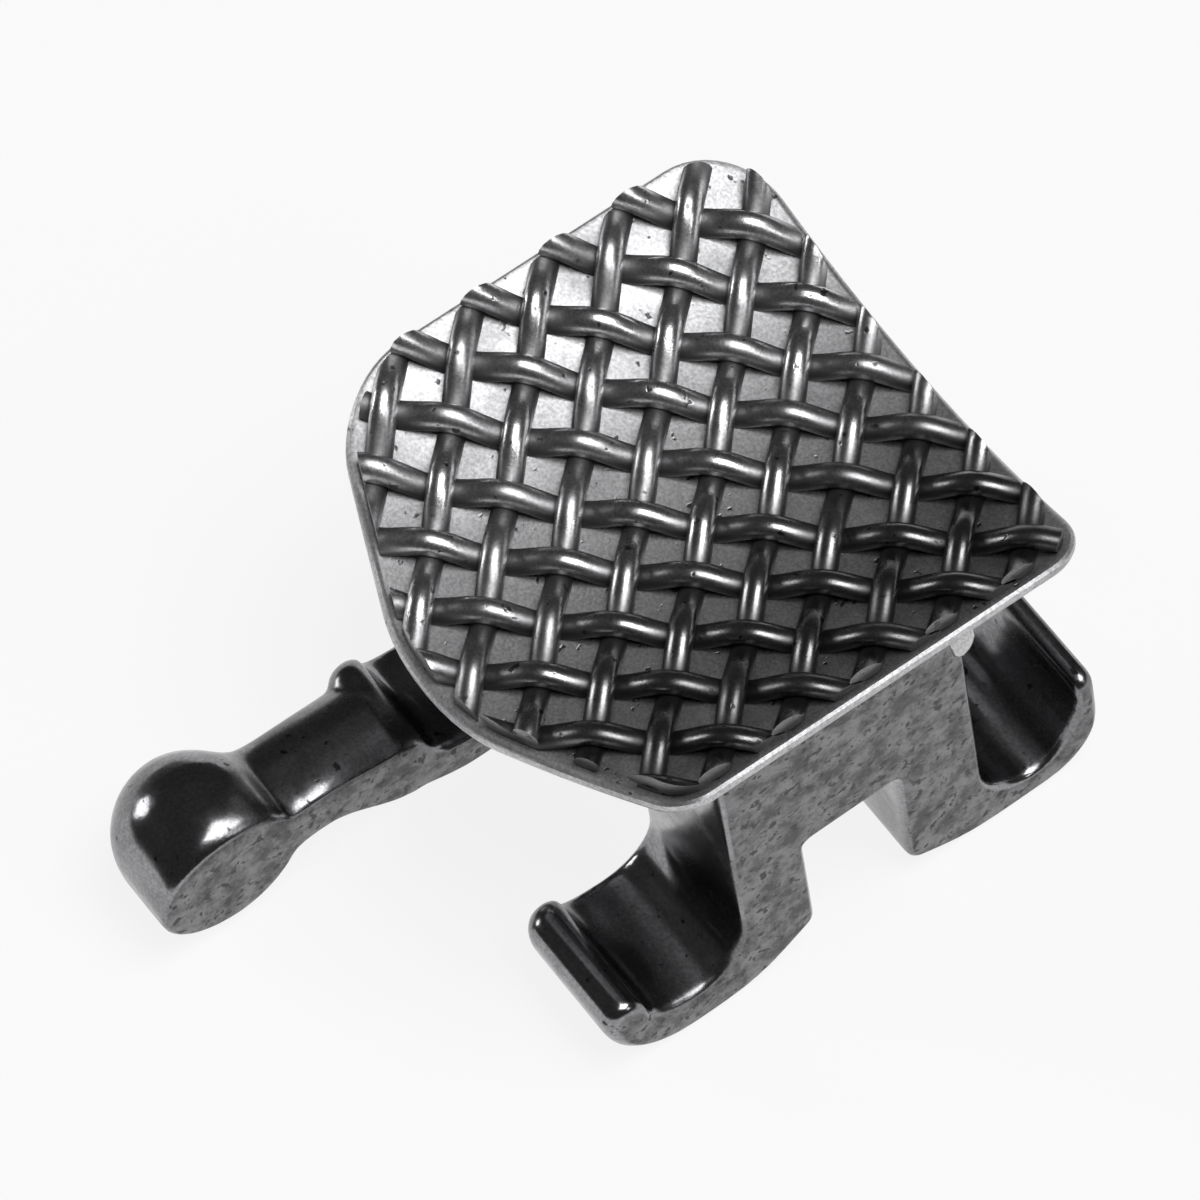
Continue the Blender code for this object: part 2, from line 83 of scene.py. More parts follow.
class Bench:
    """Works on one piece at a time, as a modeller does by hand."""

    @staticmethod
    def clear_selection() -> None:
        """Deselect every object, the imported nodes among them."""
        if bpy.context.object and bpy.context.object.mode != "OBJECT":
            bpy.ops.object.mode_set(mode="OBJECT")
        bpy.ops.object.select_all(action="DESELECT")

    @staticmethod
    def take(piece: bpy.types.Object) -> None:
        """Make one piece the only one selected, and the active one."""
        Bench.clear_selection()
        piece.select_set(True)
        bpy.context.view_layer.objects.active = piece

    @staticmethod
    def name_new(name: str) -> bpy.types.Object:
        """Name the primitive that was just added, and its mesh.

        Args:
            name: The piece's name.

        Returns:
            The piece.
        """
        piece = bpy.context.object
        piece.name = name
        piece.data.name = name
        return piece

    @staticmethod
    def open_mesh(piece: bpy.types.Object) -> None:
        """Go into edit mode on a piece, with all of it selected."""
        Bench.take(piece)
        bpy.ops.object.mode_set(mode="EDIT")
        bpy.ops.mesh.select_all(action="SELECT")

    @staticmethod
    def close_mesh() -> None:
        """Leave edit mode."""
        bpy.ops.object.mode_set(mode="OBJECT")

    @staticmethod
    def pick_verts(piece: bpy.types.Object, rule: Callable[[Vector], bool]) -> None:
        """Select the vertices that a rule takes, in edit mode.

        Args:
            piece: The piece in edit mode.
            rule: Says of a vertex's place whether it is picked.
        """
        bpy.ops.mesh.select_mode(type="VERT")
        bpy.ops.mesh.select_all(action="DESELECT")
        form = bmesh.from_edit_mesh(piece.data)
        for vert in form.verts:
            if rule(vert.co):
                vert.select = True
        form.select_flush(True)
        bmesh.update_edit_mesh(piece.data)

    @staticmethod
    def pick_edges(piece: bpy.types.Object, rule: Callable[[Vector, Vector], bool]) -> None:
        """Select the edges that a rule takes, in edit mode.

        Args:
            piece: The piece in edit mode.
            rule: Says of an edge's two ends whether it is picked.
        """
        bpy.ops.mesh.select_mode(type="EDGE")
        bpy.ops.mesh.select_all(action="DESELECT")
        form = bmesh.from_edit_mesh(piece.data)
        for edge in form.edges:
            if rule(edge.verts[0].co, edge.verts[1].co):
                edge.select = True
        form.select_flush_mode()
        bmesh.update_edit_mesh(piece.data)

    @staticmethod
    def cut(piece: bpy.types.Object, place: Vector, normal: Vector, clear: bool) -> None:
        """Cut a piece with a plane, in edit mode.

        Args:
            piece: The piece in edit mode.
            place: A point on the plane.
            normal: The plane's normal.
            clear: Whether what lies on the normal's side goes, with the cut filled.
        """
        bpy.ops.mesh.select_mode(type="VERT")
        bpy.ops.mesh.select_all(action="SELECT")
        bpy.ops.mesh.bisect(plane_co=place, plane_no=normal, use_fill=clear, clear_outer=clear,
                            threshold=HAIR)

    @staticmethod
    def cut_strips(piece: bpy.types.Object, low: float, high: float, strips: int) -> None:
        """Cut a piece across X into even strips, in edit mode, so that it can be curved.

        Args:
            piece: The piece in edit mode.
            low: Where the first strip begins.
            high: Where the last strip ends.
            strips: How many strips there are.
        """
        for index in range(1, strips):
            x = low + (high - low) * index / strips
            Bench.cut(piece, Vector((x, 0.0, 0.0)), Vector((1.0, 0.0, 0.0)), clear=False)

    @staticmethod
    def apply(piece: bpy.types.Object, kind: str, **settings: object) -> None:
        """Add a modifier to a piece and apply it.

        Args:
            piece: The piece.
            kind: The modifier's type.
            settings: Properties of the modifier.
        """
        Bench.take(piece)
        modifier = piece.modifiers.new(kind.lower(), kind)
        for name, value in settings.items():
            setattr(modifier, name, value)
        bpy.ops.object.modifier_apply(modifier=modifier.name)

    @staticmethod
    def finish(piece: bpy.types.Object, smooth_angle: float) -> None:
        """Bring a piece from millimetres to metres and shade it smooth.

        Args:
            piece: The piece, modelled in millimetres at the origin.
            smooth_angle: Edges sharper than this many degrees stay sharp.
        """
        piece.data.transform(Matrix.Scale(MILLIMETRE, 4))
        Bench.take(piece)
        bpy.ops.object.shade_smooth_by_angle(angle=math.radians(smooth_angle))
        Bench.clear_selection()


class Graph:
    """Adds and joins the nodes of one shader tree.

    Attributes:
        COLOUR_A: Place of the Mix node's first colour among its inputs.
        COLOUR_B: Place of its second colour.
        COLOUR_RESULT: Place of the mixed colour among its outputs.
        COLUMN_WIDTH: Distance between the nodes in the editor.
    """

    COLOUR_A = 6
    COLOUR_B = 7
    COLOUR_RESULT = 2
    COLUMN_WIDTH = 200

    def __init__(self, tree: bpy.types.NodeTree) -> None:
        """Start on a tree."""
        self.tree = tree
        self.column = 0

    def add(self, kind: str, **settings: object) -> bpy.types.Node:
        """Add a node, set its properties and move on one column.

        Args:
            kind: The node's type name.
            settings: Properties of the node.

        Returns:
            The new node.
        """
        node = self.tree.nodes.new(kind)
        for name, value in settings.items():
            setattr(node, name, value)
        self.column += 1
        node.location = (self.COLUMN_WIDTH * self.column, 0)
        return node

    def join(self, source: Socket, target: Socket) -> None:
        """Link one socket to another."""
        self.tree.links.new(source, target)

    def feed(self, target: Socket, value: Socket | float | Sequence[float]) -> None:
        """Link a socket to a target, or set the target to a constant.

        Args:
            target: The input socket.
            value: The socket or the constant.
        """
        if isinstance(value, bpy.types.NodeSocket):
            self.join(value, target)
        else:
            target.default_value = value

    def maths(self, operation: str, a: Socket | float, b: Socket | float = 0.0) -> Socket:
        """One operation on two values, left unclamped.

        Args:
            operation: The Math node's operation.
            a: The first value.
            b: The second value.

        Returns:
            The result's socket.
        """
        node = self.add("ShaderNodeMath", operation=operation)
        self.feed(node.inputs[0], a)
        self.feed(node.inputs[1], b)
        return node.outputs[0]

    def mix(self, share: Socket | float, a: Socket | Colour, b: Socket | Colour,
            blend: str = "MIX") -> Socket:
        """Mix two colours by a share.

        Args:
            share: How much of the second colour.
            a: The first colour.
            b: The second colour.
            blend: How the second goes over the first.

        Returns:
            The mixed colour's socket.
        """
        node = self.add("ShaderNodeMix", data_type="RGBA", blend_type=blend)
        self.feed(node.inputs["Factor"], share)
        for place, value in ((self.COLOUR_A, a), (self.COLOUR_B, b)):
            plain = not isinstance(value, bpy.types.NodeSocket)
            self.feed(node.inputs[place], (*value, 1.0) if plain else value)
        return node.outputs[self.COLOUR_RESULT]

    def shade(self, colour: Socket | Colour, share: Socket) -> Socket:
        """A colour made darker or lighter by a value."""
        return self.mix(1.0, colour, share, "MULTIPLY")

    def step(self, value: Socket, low: float, high: float, start: float = 0.0,
             end: float = 1.0) -> Socket:
        """Map a value smoothly from one range to another.

        Args:
            value: The value's socket.
            low: Where the change starts.
            high: Where the change ends.
            start: The result below low.
            end: The result above high.

        Returns:
            The result's socket.
        """
        node = self.add("ShaderNodeMapRange", interpolation_type="SMOOTHSTEP")
        self.join(value, node.inputs["Value"])
        node.inputs["From Min"].default_value = low
        node.inputs["From Max"].default_value = high
        node.inputs["To Min"].default_value = start
        node.inputs["To Max"].default_value = end
        return node.outputs["Result"]

    def noise(self, place: Socket, scale: Socket | float, detail: float, roughness: float) -> Socket:
        """A noise value over the surface.

        Args:
            place: The place's socket.
            scale: Patches to the unit of place.
            detail: How many finer layers are added.
            roughness: How much each finer layer counts.

        Returns:
            The value's socket.
        """
        node = self.add("ShaderNodeTexNoise")
        self.join(place, node.inputs["Vector"])
        self.feed(node.inputs["Scale"], scale)
        node.inputs["Detail"].default_value = detail
        node.inputs["Roughness"].default_value = roughness
        return node.outputs[0]

    def millimetres(self) -> Socket:
        """The object's own coordinates in millimetres.

        Returns:
            The place's socket.
        """
        place = self.add("ShaderNodeTexCoord")
        scale = self.add("ShaderNodeMapping")
        scale.inputs["Scale"].default_value = (PER_METRE,) * 3
        self.join(place.outputs["Object"], scale.inputs["Vector"])
        return scale.outputs["Vector"]


class Groups:
    """Shader groups that several finishes share, each made once.

    Attributes:
        made: The groups made so far, by name.
        GRAIN_NOISE: Detail and roughness of the grain's noise.
        GRAIN_HEIGHT: Height of the grain, where a pit's depth is 1.
        PIT_NOISE: Detail and roughness of the pits' noise.
        PIT_EDGE: How far the noise climbs over a pit's slope.
        STAIN_NOISE: Detail and roughness of the stain's noise.
        STAIN_RANGE: Noise levels between which the stain sets in.
    """

    made: dict[str, bpy.types.NodeTree] = {}
    GRAIN_NOISE = (4.0, 0.6)
    GRAIN_HEIGHT = 0.45
    PIT_NOISE = (2.0, 0.55)
    PIT_EDGE = 0.07
    STAIN_NOISE = (5.0, 0.62)
    STAIN_RANGE = (0.38, 0.68)

    @classmethod
    def tree(cls, name: str, inputs: Sequence[tuple[str, str]],
             outputs: Sequence[str]) -> tuple[Graph, bpy.types.Node, bpy.types.Node]:
        """Start a group with its sockets.

        Args:
            name: The group's name.
            inputs: Names and socket types of the inputs.
            outputs: Names of the outputs, all plain values.

        Returns:
            The graph, and the group's input and output nodes.
        """
        group = bpy.data.node_groups.new(name, "ShaderNodeTree")
        for socket, kind in inputs:
            group.interface.new_socket(socket, in_out="INPUT", socket_type=kind)
        for socket in outputs:
            group.interface.new_socket(socket, in_out="OUTPUT", socket_type="NodeSocketFloat")
        graph = Graph(group)
        cls.made[name] = group
        return graph, graph.add("NodeGroupInput"), graph.add("NodeGroupOutput")

    @classmethod
    def grain(cls) -> bpy.types.NodeTree:
        """Fine grain and pits of a cast or sawn surface, as values and a height.

        Returns:
            The group, with the outputs Grain, Pits and Height.
        """
        if "grain" in cls.made:
            return cls.made["grain"]
        inputs = (("Place", "NodeSocketVector"), ("Grain Scale", "NodeSocketFloat"),
                  ("Pit Scale", "NodeSocketFloat"), ("Pit Level", "NodeSocketFloat"))
        graph, given, result = cls.tree("grain", inputs, ("Grain", "Pits", "Height"))
        fine = graph.noise(given.outputs["Place"], given.outputs["Grain Scale"], *cls.GRAIN_NOISE)
        coarse = graph.noise(given.outputs["Place"], given.outputs["Pit Scale"], *cls.PIT_NOISE)
        above = graph.maths("SUBTRACT", coarse, given.outputs["Pit Level"])
        pits = graph.step(above, 0.0, cls.PIT_EDGE)
        height = graph.maths("SUBTRACT", graph.maths("MULTIPLY", fine, cls.GRAIN_HEIGHT), pits)
        graph.join(fine, result.inputs["Grain"])
        graph.join(pits, result.inputs["Pits"])
        graph.join(height, result.inputs["Height"])
        return cls.made["grain"]

    @classmethod
    def stain(cls) -> bpy.types.NodeTree:
        """Soft patches of handling stain and dulling, as one mask.

        Returns:
            The group, with the output Stain.
        """
        if "stain" in cls.made:
            return cls.made["stain"]
        inputs = (("Place", "NodeSocketVector"), ("Patch Scale", "NodeSocketFloat"))
        graph, given, result = cls.tree("stain", inputs, ("Stain",))
        cloud = graph.noise(given.outputs["Place"], given.outputs["Patch Scale"], *cls.STAIN_NOISE)
        graph.join(graph.step(cloud, *cls.STAIN_RANGE), result.inputs["Stain"])
        return cls.made["stain"]


@dataclass(frozen=True)
class SteelFinish:
    """A bare steel surface: its colours, gloss and grain.

    Attributes:
        name: The material's name.
        bright: Colour of the clean, rubbed metal.
        dull: Colour of the stained metal.
        gloss: Roughness where it is clean.
        matt: Roughness where it is stained.
        grain_scale: Grains to the millimetre.
        grain_range: Noise levels between which the grain turns from dark to light.
        grain_shade: Brightness of the darkest and the lightest grains.
        pit_scale: Pits to the millimetre.
        pit_level: Noise level above which a pit opens.
        pit_shade: Brightness of a pit's floor, against the dull colour.
        patch_scale: Patches of stain to the millimetre.
        relief: Depth of the grain in metres.
    """

    name: str
    bright: Colour
    dull: Colour
    gloss: float
    matt: float
    grain_scale: float = 60.0
    grain_range: Pair = (0.3, 0.7)
    grain_shade: Pair = (0.72, 1.12)
    pit_scale: float = 14.0
    pit_level: float = 0.66
    pit_shade: float = 0.25
    patch_scale: float = 1.7
    relief: float = 2.0e-6

    @staticmethod
    def darker(colour: Colour, share: float) -> Colour:
        """A colour brought down to a share of its brightness."""
        return tuple(share * part for part in colour)

    def start(self) -> tuple[Graph, bpy.types.Material, bpy.types.Node, Socket]:
        """Make the material with its plain metal shader.

        Returns:
            The graph, the material, the shader node and the place in millimetres.
        """
        material = bpy.data.materials.new(self.name)
        material.use_nodes = True
        graph = Graph(material.node_tree)
        shader = material.node_tree.nodes["Principled BSDF"]
        shader.inputs["Metallic"].default_value = 1.0
        return graph, material, shader, graph.millimetres()

    def surface(self, graph: Graph, place: Socket) -> tuple[Socket, Socket, Socket, Socket]:
        """The finish's grain and stain over a piece.

        Args:
            graph: The material's graph.
            place: The place in millimetres.

        Returns:
            Sockets of the colour, the roughness, the height and the pits.
        """
        grain = graph.add("ShaderNodeGroup", node_tree=Groups.grain())
        graph.join(place, grain.inputs["Place"])
        grain.inputs["Grain Scale"].default_value = self.grain_scale
        grain.inputs["Pit Scale"].default_value = self.pit_scale
        grain.inputs["Pit Level"].default_value = self.pit_level
        stain = graph.add("ShaderNodeGroup", node_tree=Groups.stain())
        graph.join(place, stain.inputs["Place"])
        stain.inputs["Patch Scale"].default_value = self.patch_scale
        colour = graph.mix(stain.outputs["Stain"], self.bright, self.dull)
        light = graph.step(grain.outputs["Grain"], *self.grain_range, *self.grain_shade)
        colour = graph.shade(colour, light)
        colour = graph.mix(grain.outputs["Pits"], colour, self.darker(self.dull, self.pit_shade))
        rough = graph.step(stain.outputs["Stain"], 0.0, 1.0, self.gloss, self.matt)
        return colour, rough, grain.outputs["Height"], grain.outputs["Pits"]

    def relieve(self, graph: Graph, shader: bpy.types.Node, height: Socket,
                depth: Socket | float) -> None:
        """Feed a height to the shader's normal through a bump of this finish's depth.

        Args:
            graph: The material's graph.
            shader: The metal shader.
            height: The height's socket.
            depth: Share of the relief that shows.
        """
        bump = graph.add("ShaderNodeBump")
        bump.inputs["Distance"].default_value = self.relief
        graph.feed(bump.inputs["Strength"], depth)
        graph.join(height, bump.inputs["Height"])
        graph.join(bump.outputs["Normal"], shader.inputs["Normal"])

    def build(self) -> bpy.types.Material:
        """The finish as a material."""
        graph, material, shader, place = self.start()
        colour, rough, height, _ = self.surface(graph, place)
        graph.join(colour, shader.inputs["Base Color"])
        graph.join(rough, shader.inputs["Roughness"])
        self.relieve(graph, shader, height, 1.0)
        return material


@dataclass(frozen=True)
class CastFinish(SteelFinish):
    """Tumbled cast steel whose end faces are left sawn, matt and pitted.

    Attributes:
        sawn: Colour of the sawn faces.
        sawn_rough: Roughness of the sawn faces.
        sawn_range: How far a face has to turn to X to count as sawn, from not at all to wholly.
        mottle_scale: Soft patches to the millimetre on the sawn faces.
        mottle_noise: Detail and roughness of their noise.
        mottle_range: Noise levels between which the patches turn from dark to light.
        mottle_shade: Brightness of the darkest and the lightest patches.
        pore_scale: Small dark pores to the millimetre on the sawn faces.
        pore_noise: Detail and roughness of their noise.
        pore_range: Noise levels between which a pore opens.
        pore_shade: Brightness of a pore, against the sawn colour.
        cast_relief: Share of the relief that shows off the sawn faces.
    """

    sawn: Colour = (0.21, 0.21, 0.215)
    sawn_rough: float = 0.50
    sawn_range: Pair = (0.84, 0.96)
    mottle_scale: float = 7.0
    mottle_noise: Pair = (6.0, 0.74)
    mottle_range: Pair = (0.36, 0.64)
    mottle_shade: Pair = (0.46, 1.28)
    pore_scale: float = 17.0
    pore_noise: Pair = (2.0, 0.6)
    pore_range: Pair = (0.55, 0.68)
    pore_shade: float = 0.34
    cast_relief: float = 0.18

    def build(self) -> bpy.types.Material:
        """The two-part finish as a material."""
        graph, material, shader, place = self.start()
        colour, rough, height, pits = self.surface(graph, place)
        facing = graph.add("ShaderNodeSeparateXYZ")
        normal = graph.add("ShaderNodeTexCoord")
        graph.join(normal.outputs["Normal"], facing.inputs[0])
        sawn = graph.step(graph.maths("ABSOLUTE", facing.outputs["X"]), *self.sawn_range)
        cloud = graph.noise(place, self.mottle_scale, *self.mottle_noise)
        mottle = graph.step(cloud, *self.mottle_range, *self.mottle_shade)
        pores = graph.step(graph.noise(place, self.pore_scale, *self.pore_noise), *self.pore_range)
        dark = self.darker(self.sawn, self.pore_shade)
        sawn_colour = graph.shade(self.sawn, mottle)
        sawn_colour = graph.mix(pores, sawn_colour, dark)
        sawn_colour = graph.mix(pits, sawn_colour, dark)
        graph.join(graph.mix(sawn, colour, sawn_colour), shader.inputs["Base Color"])
        gap = graph.maths("SUBTRACT", self.sawn_rough, rough)
        rough = graph.maths("ADD", rough, graph.maths("MULTIPLY", gap, sawn))
        graph.join(rough, shader.inputs["Roughness"])
        height = graph.maths("SUBTRACT", height, graph.maths("MULTIPLY", pores, sawn))
        self.relieve(graph, shader, height, graph.step(sawn, 0.0, 1.0, self.cast_relief, 1.0))
        return material


@dataclass(frozen=True)
class WireFinish(SteelFinish):
    """Woven wire, glossy along its crowns and rougher where it dips, with painted shade in the dips
    and towards +X.

    Attributes:
        rise: Name of the attribute with a point's height in the weave, from 0 to 1.
        crown_range: Heights between which the wire turns from the painted shade and roughness of its
            dips
        to its own colour and gloss on the crowns.
        dip_painted_shade: Brightness of the painted shade where the wire dips, against the dull
            colour.
        dip_rough: Roughness where it dips.
        wire_relief: Share of the relief that shows on the wire.
        painted_shade_range: Places along X, in millimetres, where a painted shade on the wires sets in
        and where it is darkest, which makes them darker towards +X.
        painted_shade_left: Share of their brightness that the painted shade leaves there.
    """

    rise: str = "rise"
    crown_range: Pair = (0.30, 0.80)
    dip_painted_shade: float = 0.40
    dip_rough: float = 0.55
    wire_relief: float = 0.5
    painted_shade_range: Pair = (-0.7, 1.1)
    painted_shade_left: float = 0.26

    def build(self) -> bpy.types.Material:
        """The finish as a material."""
        graph, material, shader, place = self.start()
        colour, rough, height, _ = self.surface(graph, place)
        lift = graph.add("ShaderNodeAttribute", attribute_name=self.rise)
        crown = graph.step(lift.outputs["Fac"], *self.crown_range)
        # Painted shade: the wire's colour is darkened where it dips under the crossing wires.
        colour = graph.mix(crown, self.darker(self.dull, self.dip_painted_shade), colour)
        along = graph.add("ShaderNodeSeparateXYZ")
        graph.join(place, along.inputs[0])
        # Painted shade: the wires' colour is darkened towards +X.
        painted_shade = graph.step(along.outputs["X"], *self.painted_shade_range, 1.0, self.painted_shade_left)
        graph.join(graph.shade(colour, painted_shade), shader.inputs["Base Color"])
        gap = graph.maths("SUBTRACT", self.dip_rough, rough)
        dulled = graph.maths("MULTIPLY", gap, graph.maths("SUBTRACT", 1.0, crown))
        graph.join(graph.maths("ADD", rough, dulled), shader.inputs["Roughness"])
        self.relieve(graph, shader, height, self.wire_relief)
        return material


TUMBLED = CastFinish("tumbled_steel", (0.30, 0.30, 0.31), (0.18, 0.18, 0.185), gloss=0.17, matt=0.30)
WIRE = WireFinish("woven_wire_steel", (0.74, 0.74, 0.75), (0.50, 0.50, 0.51), gloss=0.24, matt=0.36)
FOIL = SteelFinish("foil_steel", (0.58, 0.58, 0.59), (0.44, 0.44, 0.45), gloss=0.42, matt=0.52)
BRAZE = SteelFinish("braze_alloy", (0.54, 0.54, 0.54), (0.38, 0.38, 0.38), gloss=0.14, matt=0.28)


@dataclass
class Casting:
    """The one-piece casting: neck, bridge, four tie wings, slot and ball hook.

    Attributes:
        node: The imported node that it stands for.
        merge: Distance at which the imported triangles' corners are joined, in millimetres.
        voxel: Grain of the remeshed skin, in millimetres.
        smooth_share: How far a point moves to its neighbours' middle in each pass.
        smooth_passes: Passes of smoothing, which give the tumbled edges their radius.
        sharp_angle: Degrees past which an edge is shaded sharp, which no edge of the casting is.
    """

    node: str = "bracket_body"
    merge: float = 0.0004
    voxel: float = 0.0196
    smooth_share: float = 0.5
    smooth_passes: int = 9
    sharp_angle: float = 180.0

    def build(self) -> list[bpy.types.Object]:
        """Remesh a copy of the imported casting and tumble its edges."""
        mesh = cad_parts[self.node].data.copy()
        mesh.transform(Matrix.Scale(PER_METRE, 4))
        mesh.materials.clear()
        piece = bpy.data.objects.new("casting", mesh)
        bpy.context.scene.collection.objects.link(piece)
        Bench.open_mesh(piece)
        bpy.ops.mesh.remove_doubles(threshold=self.merge)
        Bench.close_mesh()
        Bench.apply(piece, "REMESH", mode="VOXEL", voxel_size=self.voxel, adaptivity=0.0)
        Bench.apply(piece, "SMOOTH", factor=self.smooth_share, iterations=self.smooth_passes)
        Bench.finish(piece, self.sharp_angle)
        piece.data.materials.append(TUMBLED.build())
        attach(piece, "root")
        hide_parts(self.node)
        return [piece]


@dataclass
class MeshPad:
    """The foil and the woven mesh bonded to it, curved to fit the tooth.

    Attributes:
        corners: The outline's corners with their radii, in millimetres.
        curve_radius: Radius of the pad's curve about an axis along Y.
        torque: Degrees by which the pad leans on the casting.
        underside: Height of the foil's underside at the origin.
        foil: The foil's thickness.
        rim: Width of the plain rim round the mesh.
        edge: Radius of the foil's trimmed edges.
        corner_steps: Steps round a corner of the outline.
        edge_steps: Steps over a trimmed edge.
        strips: Cuts across the foil that let it curve.
        pitch: Distance between the wires.
        wire_width: A wire's width.
        wire_crown: A wire's half height.
        swing: How far a wire rises and dips.
        mid_height: A wire's mean height above the foil.
        shift: Where the weave's first crossing lies.
        wires: Wires to each side of the first crossing.
        wire_sides: Sides of a wire's section.
        wire_steps: Lengths of wire between two crossings.
        join_share: Share of such a length within which two lengths' ends are joined.
        least_rings: A trimmed wire with no more rings of points than this is left out.
        families: The two sets of wires, each with the way it is laid out along X and the degrees
            that its wires are turned.
        stray: How far a wire may lie off its line.
        stray_angle: Degrees that a wire may be turned from its line.
        seed: Seed of the wires' strays.
        foil_sharp: Degrees past which an edge of the foil is shaded sharp.
        wire_sharp: Degrees past which an edge of a wire is shaded sharp, as its cut ends are.
        lines: The lines that bound the mesh, found from the outline.
    """

    corners: Sequence[Point] = (
        (1.46, 1.49, 0.24),
        (-1.50, 1.49, 0.42),
        (-1.50, -0.93, 0.62),
        (0.02, -1.56, 1.20),
        (1.46, -0.93, 0.26),
    )
    curve_radius: float = 3.74
    torque: float = 2.1
    underside: float = 0.76
    foil: float = 0.10
    rim: float = 0.058
    edge: float = 0.045
    corner_steps: int = 12
    edge_steps: int = 3
    strips: int = 40
    pitch: float = 0.3175
    wire_width: float = 0.136
    wire_crown: float = 0.060
    swing: float = 0.046
    mid_height: float = 0.046
    shift: Pair = (0.108, 0.130)
    wires: int = 8
    wire_sides: int = 14
    wire_steps: int = 8
    join_share: float = 0.05
    least_rings: int = 4
    families: Sequence[tuple[int, float]] = ((1, 135.0), (-1, 45.0))
    stray: float = 0.006
    stray_angle: float = 0.25
    seed: int = 11
    foil_sharp: float = 32.0
    wire_sharp: float = 60.0
    lines: list[tuple[Vector, Vector]] = field(default_factory=list)

    def build(self) -> list[bpy.types.Object]:
        """Make the foil and the weave.

        Returns:
            Both pieces.
        """
        foil = self.make_foil()
        weave = self.make_weave()
        foil.data.materials.append(FOIL.build())
        weave.data.materials.append(WIRE.build())
        for piece in (foil, weave):
            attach(piece, "root")
            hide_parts("mesh_pad")
        return [foil, weave]

    def sag(self, x: float) -> float:
        """How far the curve lifts the pad at a place along X."""
        return self.curve_radius - math.sqrt(self.curve_radius ** 2 - x ** 2)

    def seat(self, piece: bpy.types.Object, lift: float) -> None:
        """Curve a flat piece and set it on the casting.

        Args:
            piece: The piece, lying flat.
            lift: How far it is raised first.
        """
        for vert in piece.data.vertices:
            vert.co.z += lift + self.sag(vert.co.x)
        turn = Matrix.Rotation(math.radians(-self.torque), 4, "X")
        piece.data.transform(Matrix.Translation((0.0, 0.0, self.underside)) @ turn)

    def make_foil(self) -> bpy.types.Object:
        """The foil, its corners rounded, its edges softened and its form curved.

        Returns:
            The finished piece.
        """
        Bench.clear_selection()
        bpy.ops.mesh.primitive_circle_add(vertices=len(self.corners), radius=1.0, fill_type="NGON")
        piece = Bench.name_new("pad_foil")
        Bench.open_mesh(piece)
        form = bmesh.from_edit_mesh(piece.data)
        form.verts.ensure_lookup_table()
        for vert, corner in zip(form.verts, self.corners):
            vert.co = (corner[0], corner[1], 0.0)
        bmesh.update_edit_mesh(piece.data)
        for index, (x, y, radius) in enumerate(self.corners):
            here = Vector((x, y))
            before = Vector(self.corners[index - 1][:2]) - here
            after = Vector(self.corners[(index + 1) % len(self.corners)][:2]) - here
            reach = radius / math.tan(before.angle(after) / 2)
            Bench.pick_verts(piece, lambda co: (co.xy - here).length < HAIR)
            bpy.ops.mesh.bevel(offset=reach, segments=self.corner_steps, affect="VERTICES",
                               profile=ROUND)
        self.lines = self.edge_lines(piece)
        bpy.ops.mesh.select_all(action="SELECT")
        bpy.ops.mesh.extrude_region_move(TRANSFORM_OT_translate={"value": (0.0, 0.0, self.foil)})
        bpy.ops.mesh.select_all(action="SELECT")
        bpy.ops.mesh.normals_make_consistent(inside=False)
        Bench.pick_edges(piece, lambda a, b: abs(a.z - b.z) < HAIR)
        bpy.ops.mesh.bevel(offset=self.edge, segments=self.edge_steps, affect="EDGES", profile=ROUND)
        low = min(corner[0] for corner in self.corners)
        high = max(corner[0] for corner in self.corners)
        Bench.cut_strips(piece, low, high, self.strips)
        Bench.close_mesh()
        self.seat(piece, 0.0)
        Bench.finish(piece, self.foil_sharp)
        return piece

    def edge_lines(self, piece: bpy.types.Object) -> list[tuple[Vector, Vector]]:
        """The lines that bound the mesh: the outline's sides, moved in by the rim.

        Args:
            piece: The flat outline in edit mode.

        Returns:
            A point on each side with its outward normal.
        """
        form = bmesh.from_edit_mesh(piece.data)
        lines = []
        for edge in form.edges:
            a, b = (vert.co.copy() for vert in edge.verts)
            outward = Vector((b.y - a.y, a.x - b.x, 0.0)).normalized()
            if outward.dot(a) < 0:
                outward.negate()
            lines.append((a - outward * self.rim, outward))
        return lines

    def make_wire(self) -> bpy.types.Object:
        """One long wavy wire along X, highest over the origin.

        Returns:
            The pattern for every wire, in millimetres.
        """
        step = self.pitch / self.wire_steps
        reach = self.pitch * self.wires
        Bench.clear_selection()
        bpy.ops.mesh.primitive_circle_add(
            vertices=self.wire_sides, radius=self.wire_width / 2, fill_type="NOTHING",
            location=(-reach, 0.0, 0.0), rotation=(0.0, math.pi / 2, 0.0))
        piece = Bench.name_new("wire")
        bpy.ops.object.transform_apply(location=True, rotation=True, scale=True)
        Bench.open_mesh(piece)
        flat = 2 * self.wire_crown / self.wire_width
        bpy.ops.transform.resize(value=(1.0, 1.0, flat), center_override=(0.0, 0.0, 0.0))
        bpy.ops.mesh.extrude_region_move(TRANSFORM_OT_translate={"value": (step, 0.0, 0.0)})
        bpy.ops.mesh.select_all(action="SELECT")
        bpy.ops.mesh.normals_make_consistent(inside=False)
        Bench.close_mesh()
        Bench.apply(piece, "ARRAY", count=2 * self.wires * self.wire_steps, use_relative_offset=False,
                    use_constant_offset=True, constant_offset_displace=(step, 0.0, 0.0),
                    use_merge_vertices=True, merge_threshold=step * self.join_share)
        for vert in piece.data.vertices:
            vert.co.z += self.mid_height + self.swing * math.cos(math.pi * vert.co.x / self.pitch)
        return piece

